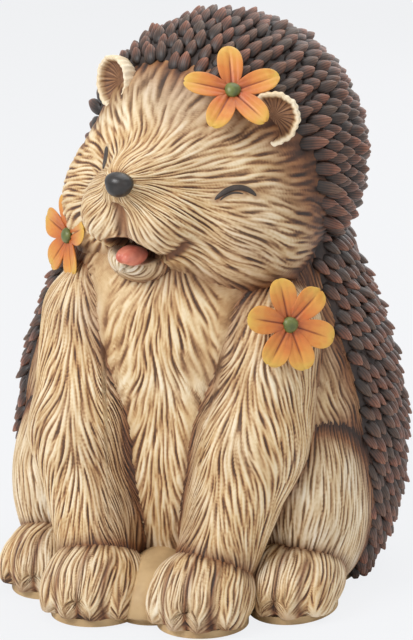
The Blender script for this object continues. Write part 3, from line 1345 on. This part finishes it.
def hood_places(coat, chance):
    """Seats of the hood's spines, seen from the skull's centre: rings about the axis that runs back through it."""
    rings = int(math.pi * HOOD_RING_RADIUS / coat.row_gap)
    found = []
    for ring in range(rings):
        tilt = math.pi * (ring + FIRST_RING_SHARE) / rings
        count = max(3, int(2 * math.pi * HOOD_RING_RADIUS * math.sin(tilt) / coat.pitch))
        turn = row_turns(count, ring, chance)
        tilt = tilt + chance.uniform(-TILT_UNEVENNESS, TILT_UNEVENNESS, count)
        found.append(np.stack([np.sin(tilt) * np.cos(turn), np.cos(tilt), np.sin(tilt) * np.sin(turn)], -1))
    local = np.concatenate(found) * HOOD_SIZE + HOOD_CENTRE
    places = HEAD_PLACE + local @ HEAD_AXES.T
    cheeks = joined(CHEEKS[0], (CHEEKS[1], MM))
    return local[(hood_line_ahead(places) < -MM) & (TORSO_FORM(places) > -MM) & (cheeks(places) > MM)]


class HEDGEHOG_OT_spines(bpy.types.Operator):
    """Plant the spines on the back and the hood"""

    bl_idname = "hedgehog.spines"
    bl_label = "Spines"

    def execute(self, context):
        coat = context.scene.hedgehog_coat
        chance = np.random.default_rng(61)
        places = back_places(coat, chance)
        outward = normals_of(COAT_FORM, places)
        lean_way = lie_flat(np.broadcast_to([0, 0.45, -1.0], places.shape), outward)
        plant("planted_back_spines", places, outward, lean_way, coat.length, "back_spines", 62)
        local = hood_places(coat, chance)
        places = HEAD_PLACE + local @ HEAD_AXES.T
        outward = normals_of(HOOD, places)
        lean_way = lie_flat(np.broadcast_to(HEAD_AXES @ (0, 1.0, -0.1), places.shape), outward)
        edge = np.clip(1 + hood_line_ahead(places) / EDGE_RUN, 0, 1)
        edge *= np.clip(1.4 - np.abs(local[:, 2]) / EDGE_HALF_HEIGHT, 0, 1)
        lengths = coat.length * (HOOD_LENGTH_SHARE + EDGE_GROWTH * edge)
        plant("planted_head_spines", places, outward, lean_way, lengths, "head_spines", 63)
        return {"FINISHED"}


# Flowers: middle, way that it faces, radius and petal width in mm, how far each petal turns clockwise from
# straight up in degrees, and how much a petal widens towards its tip
Flower = namedtuple("Flower", "place facing radius petal_width petal_turns breadth_share")
HEAD_FLOWER_FACING = np.array([0.385, -0.648, 0.658])
FLOWERS = {
    "head_flower": Flower(
        HEAD_PLACE + HEAD_AXES @ (HEAD_FLOWER_FACING * (SKULL + 3.4 * MM)),
        HEAD_AXES @ HEAD_FLOWER_FACING, 15.6, 9.2, (-2, 74, 142, 208, 280), 0.4,
    ),
    "shoulder_flower": Flower(
        mm(41.5, -39.5, 97), np.array([0.60, -0.76, 0.24]), 15.0, 9.9, (-11, 47, 113, 167, 216, 283), 1.0
    ),
    "cheek_flower": Flower(
        mm(-38.8, -25.3, 117.8), np.array([-0.70, -0.71, 0.08]), 14.5, 10.4, (-4, 70, 145, 216, 286), 0.9
    ),
}
PETAL_START, PETAL_LAYER, CREASE_DEPTH = mm(1.5, 0.12, 0.7)
BEAD_HALF_HEIGHT, BEAD_LIFT = mm(1.7, 0.9)
MIDDLE_CREASE_WIDTH, SIDE_CREASE_WIDTH, SIDE_CREASE_PLACE = 0.12, 0.09, 0.45


def petal_rows(length, width, thickness, breadth_share, seed):
    """A petal from its root at the origin along X: a flattened egg, fuller towards its tip, creased and cupped.

    With u from root to tip and v round it, half width is the sine of u to the power 0.85 times the cosine of v,
    drawn towards the tip; height is about the sine of u times the sine of v. Three creases, bell curves across the
    petal, run along its top, its edge ripples, and it curls up to its edges and its tip. It closes at each end on
    the first point of that row.
    """
    chance = np.random.default_rng(seed)
    u, v = np.meshgrid(np.linspace(0, np.pi, 34), np.linspace(0, 2 * np.pi, 44, endpoint=False), indexing="ij")
    along = (1 - np.cos(u)) / 2
    fuller = 0.62 + 0.52 * breadth_share * along + 0.3 * (1 - breadth_share)
    edge = 1 + 0.03 * np.sin(5 * v + chance.uniform(0, 6)) * along
    x = length * along * (1 + 0.025 * np.cos(3 * v + chance.uniform(0, 6)) * along)
    across = np.sin(u) ** 0.85 * np.cos(v)
    y = width / 2 * across * fuller * edge
    top = np.clip(np.sin(v), 0, 1) ** 0.3
    creases = np.exp(-((across / MIDDLE_CREASE_WIDTH) ** 2))
    for place in (SIDE_CREASE_PLACE, -SIDE_CREASE_PLACE):
        creases += 0.35 * np.exp(-(((across - place) / SIDE_CREASE_WIDTH) ** 2))
    creases *= np.clip((1.0 - along) / 0.45, 0, 1) ** 0.7
    z = thickness / 2 * np.sin(u) ** 0.7 * np.sign(np.sin(v)) * np.abs(np.sin(v)) ** 0.7
    z += MM * (0.9 * across**2 + 1.9 * along**1.5 - 0.5 * along**4) - CREASE_DEPTH * creases * top
    crease = np.clip(1 - creases * top, 0, 1)
    for table in (x, y, z, crease):
        table[[0, -1]] = table[[0, -1], :1]
    return np.stack([x, y, z], -1), {"along": along, "crease": crease}


def bead_rows(radius):
    """A flat rounded bead: an egg whose girth wavers by a sine of three times the turn, pressed in sideways."""
    u, v = np.meshgrid(np.linspace(0, np.pi, 30), np.linspace(0, 2 * np.pi, 40, endpoint=False), indexing="ij")
    girth = radius * np.sin(u) * (1 + 0.04 * np.sin(3 * v + 1))
    height = BEAD_HALF_HEIGHT * np.cos(u) * (1 - 0.15 * np.sin(u) ** 4) + BEAD_LIFT
    return np.stack([girth * np.cos(v), girth * np.sin(v), height], -1)


class HEDGEHOG_OT_flowers(bpy.types.Operator):
    """Shape the petals and beads of the three flowers"""

    bl_idname = "hedgehog.flowers"
    bl_label = "Flowers"

    def execute(self, context):
        sizes = context.scene.hedgehog_flowers
        for number, (name, flower) in enumerate(FLOWERS.items()):
            facing = flower.facing / np.linalg.norm(flower.facing)
            up = lie_flat(np.array([0.0, 0, 1.0]), facing)
            sideways = np.cross(up, facing)
            points, faces, shades = [], [], {"along": [], "crease": []}
            for k, turn in enumerate(np.radians(flower.petal_turns)):
                length, width = flower.radius * MM - PETAL_START, flower.petal_width * MM
                seed = 10 * number + k
                rows, values = petal_rows(length, width, sizes.petal_thickness, flower.breadth_share, seed)
                along = up * math.cos(turn) + sideways * math.sin(turn)
                axes = np.stack([along, np.cross(facing, along), facing], 1)
                flat, blocks, values = closed_rows(rows, values)
                faces += [block + k * len(flat) for block in blocks]
                points.append(placed(flat + (PETAL_START, 0, PETAL_LAYER * k), flower.place, axes))
                for shade, table in values.items():
                    shades[shade].append(table)
            shades = {shade: np.concatenate(tables) for shade, tables in shades.items()}
            new_mesh(
                f"painted_{name}_petals", np.concatenate(points), faces, shades,
                "painted resin petals", "petal_resin", [f"{name}_petals"],
            )
            bead = placed(bead_rows(sizes.bead_radius), flower.place, np.stack([sideways, up, facing], 1))
            skin_mesh(f"painted_{name}_bead", bead, {}, "olive bead paint", "bead_resin", [f"{name}_bead"])
        return {"FINISHED"}


# Stage: each lamp's place in metres, its side and its share of the key lamp's power, and the plain surroundings
LAMPS = {
    "key_lamp": ((-0.45, -0.75, 0.75), 0.5, 1.0),
    "fill_lamp": ((0.75, -0.6, 0.35), 0.7, 0.12),
    "top_lamp": ((0.1, 0.2, 0.95), 0.8, 0.5),
    "back_lamp": ((0.2, 0.8, 0.5), 0.8, 0.35),
}
WORLD_LIGHT = 0.4
FLOOR_HALF = 3.0
FLOOR_GLOW_SHARE = 0.93


def placed_axes(right, up, back, place):
    """A placing whose X, Y and Z ways and origin are given."""
    rows = [[right[i], up[i], back[i], place[i]] for i in range(3)]
    return Matrix(rows + [[0, 0, 0, 1]])


class HEDGEHOG_OT_stage(bpy.types.Operator):
    """Set the camera, the lamps, the floor and the backdrop"""

    bl_idname = "hedgehog.stage"
    bl_label = "Stage"

    def execute(self, context):
        scene = context.scene
        right, up, back = camera_axes()
        data = bpy.data.cameras.new("camera")
        data.sensor_width = SENSOR
        data.lens = SENSOR * CAMERA_DISTANCE / PIXEL_SIZE / max(IMAGE_SIZE)
        data.shift_x = (IMAGE_SIZE[0] / 2 - MIDDLE_PIXEL[0]) / max(IMAGE_SIZE)
        data.clip_end = FAR_CLIP
        camera = bpy.data.objects.new("camera", data)
        camera.matrix_world = placed_axes(right, up, back, CAMERA_TARGET + back * CAMERA_DISTANCE)
        scene.collection.objects.link(camera)
        scene.camera = camera
        for name, (place, size, share) in LAMPS.items():
            light = bpy.data.lights.new(name, "AREA")
            light.size = size
            light.energy = scene.hedgehog_stage.key_power * share
            lamp = bpy.data.objects.new(name, light)
            away = np.array(place) - CAMERA_TARGET
            away /= np.linalg.norm(away)
            sideways = cross(np.array([0.0, 0.0, 1.0]), away)
            lamp.matrix_world = placed_axes(sideways, np.cross(away, sideways), away, place)
            scene.collection.objects.link(lamp)
        scene.view_settings.view_transform = "Standard"
        self.make_world(scene)
        self.make_floor(scene)
        return {"FINISHED"}

    def make_world(self, scene):
        """A soft white light from all round, seen as the plain backdrop colour."""
        world = bpy.data.worlds.new("studio")
        scene.world = world
        world.use_nodes = True
        tree = world.node_tree
        tree.nodes.clear()
        path = add_node(tree, "LightPath").node.outputs
        seen = path["Is Camera Ray"]
        for ray in ("Is Glossy Ray", "Is Transmission Ray"):
            seen = add_node(tree, "Math", {0: seen, 1: path[ray]}, operation="MAXIMUM")
        soft = add_node(tree, "Background", {"Color": linear("ffffff"), "Strength": WORLD_LIGHT})
        plain = add_node(tree, "Background", {"Color": scene.hedgehog_stage.backdrop, "Strength": 1.0})
        surface = add_node(tree, "MixShader", {0: seen, 1: soft, 2: plain})
        add_node(tree, "OutputWorld", {"Surface": surface})

    def make_floor(self, scene):
        """A wide floor, pale to the eye, that keeps a soft shadow of the ornament."""
        half = FLOOR_HALF
        mesh = bpy.data.meshes.new("floor")
        corners = [(-half, -half, 0), (half, -half, 0), (half, half, 0), (-half, half, 0)]
        mesh.from_pydata(corners, [], [(0, 1, 2, 3)])
        floor = bpy.data.objects.new("floor", mesh)
        material, tree, _ = new_tree("pale seamless paper")
        camera_ray = add_node(tree, "LightPath", output="Is Camera Ray")
        share = add_node(tree, "Math", {0: camera_ray, 1: FLOOR_GLOW_SHARE}, operation="MULTIPLY")
        paper = add_node(tree, "BsdfDiffuse", {"Color": scene.hedgehog_stage.backdrop})
        glow = add_node(tree, "Emission", {"Color": scene.hedgehog_stage.backdrop, "Strength": 1.0})
        surface = add_node(tree, "MixShader", {0: share, 1: paper, 2: glow})
        add_node(tree, "OutputMaterial", {"Surface": surface})
        mesh.materials.append(material)
        scene.collection.objects.link(floor)


OPERATORS = (
    HEDGEHOG_OT_head,
    HEDGEHOG_OT_body,
    HEDGEHOG_OT_forelegs,
    HEDGEHOG_OT_haunches,
    HEDGEHOG_OT_paws,
    HEDGEHOG_OT_face,
    HEDGEHOG_OT_ears,
    HEDGEHOG_OT_coat,
    HEDGEHOG_OT_spines,
    HEDGEHOG_OT_flowers,
    HEDGEHOG_OT_stage,
)
GROUPS = {
    "hedgehog_fur": HedgehogFur,
    "hedgehog_coat": HedgehogCoat,
    "hedgehog_flowers": HedgehogFlowers,
    "hedgehog_stage": HedgehogStage,
}


class HEDGEHOG_PT_build(bpy.types.Panel):
    """Lists the steps of the build and their sizes and colours"""

    bl_label = "Sitting hedgehog"
    bl_idname = "HEDGEHOG_PT_build"
    bl_space_type = "VIEW_3D"
    bl_region_type = "UI"
    bl_category = "Hedgehog"

    def draw(self, context):
        for operator in OPERATORS:
            self.layout.operator(operator.bl_idname)
        for name, group in GROUPS.items():
            for value in group.__annotations__:
                self.layout.prop(getattr(context.scene, name), value)


def register():
    """Makes the groups, the operators and the panel known to Blender."""
    for entry in (*GROUPS.values(), *OPERATORS, HEDGEHOG_PT_build):
        bpy.utils.register_class(entry)
    for name, group in GROUPS.items():
        setattr(bpy.types.Scene, name, PointerProperty(type=group))


def unregister():
    """Takes them away again, the last one first."""
    for name in GROUPS:
        delattr(bpy.types.Scene, name)
    for entry in reversed((*GROUPS.values(), *OPERATORS, HEDGEHOG_PT_build)):
        bpy.utils.unregister_class(entry)


def main():
    """Runs every step of the build."""
    register()
    for operator in OPERATORS:
        category, step = operator.bl_idname.split(".")
        getattr(getattr(bpy.ops, category), step)()


if __name__ == "__main__":
    main()
